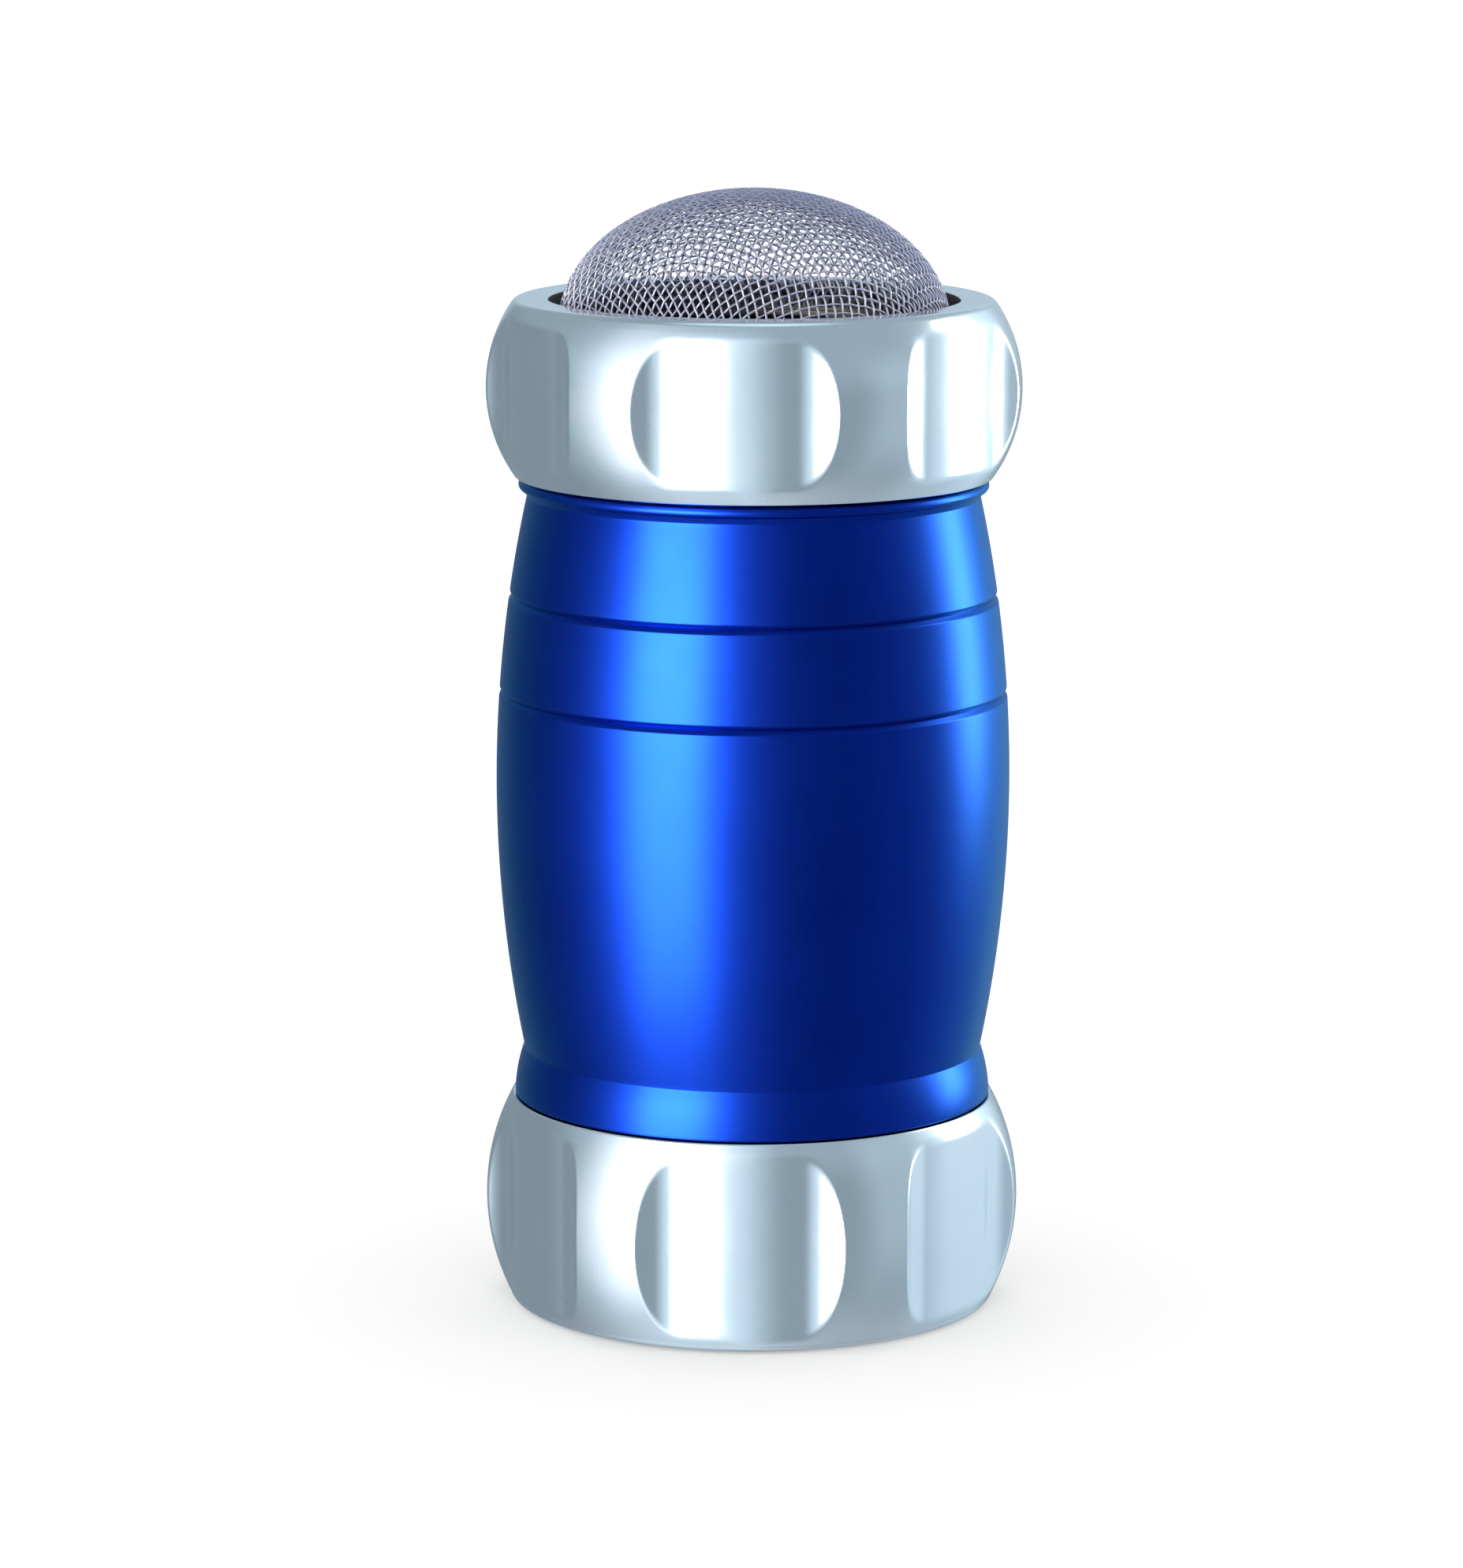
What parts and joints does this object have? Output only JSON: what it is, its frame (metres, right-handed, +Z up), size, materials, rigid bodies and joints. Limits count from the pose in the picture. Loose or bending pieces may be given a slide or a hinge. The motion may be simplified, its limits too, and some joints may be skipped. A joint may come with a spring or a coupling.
{
  "type": "powdered sugar shaker",
  "caption": "Hand shaker for powdered sugar: bulging anodised barrel, screw-on base cap and screw ring with finger grips, and a wire mesh dome as its sieve.",
  "frame": {"origin": "centre of the base cap's underside, where the shaker stands", "axes": "+Z up along the shaker's axis; -Y is the front, at the middle of one of the base cap's finger grips"},
  "size_m": [0.0636, 0.0606, 0.1324],
  "materials": {
    "blue_anodised": "satin blue anodised",
    "satin_aluminium": "satin to bright",
    "stainless_steel": "pressed sheet",
    "stainless_wire": "woven wire",
    "seal_silicone": "matte"
  },
  "bodies": {
    "barrel": {"barrel": "blue_anodised"},
    "sieve": {"mesh_dome": "stainless_wire", "mesh_rim": "stainless_steel"},
    "sieve_seal": {"sieve_seal": "seal_silicone"},
    "top_ring": {"top_ring": "satin_aluminium"},
    "base_seal": {"base_seal": "seal_silicone"},
    "base_cap": {"base_cap": "satin_aluminium"}
  },
  "joints": [
    {"name": "sieve_lift_off", "type": "slide", "parent": "barrel", "child": "sieve", "axis": [0, 0, 1], "range_m": [0, 0.05]},
    {"name": "ring_rise", "type": "slide", "parent": "sieve", "child": "sieve_seal", "axis": [0, 0, 1], "range_m": [0, 0.0069]},
    {"name": "ring_turn", "type": "hinge", "parent": "sieve_seal", "child": "top_ring", "pos_m": [0, 0, 0.11], "axis": [0, 0, 1], "range_deg": [0, 990]},
    {"name": "base_drop", "type": "slide", "parent": "barrel", "child": "base_seal", "axis": [0, 0, -1], "range_m": [0, 0.0069]},
    {"name": "base_turn", "type": "hinge", "parent": "base_seal", "child": "base_cap", "pos_m": [0, 0, 0.013], "axis": [0, 0, -1], "range_deg": [0, 990]}
  ],
  "couplings": [
    {"joint": "ring_rise", "follows": "ring_turn", "m_per_rad": 0.00039789},
    {"joint": "base_drop", "follows": "base_turn", "m_per_rad": 0.00039789}
  ]
}
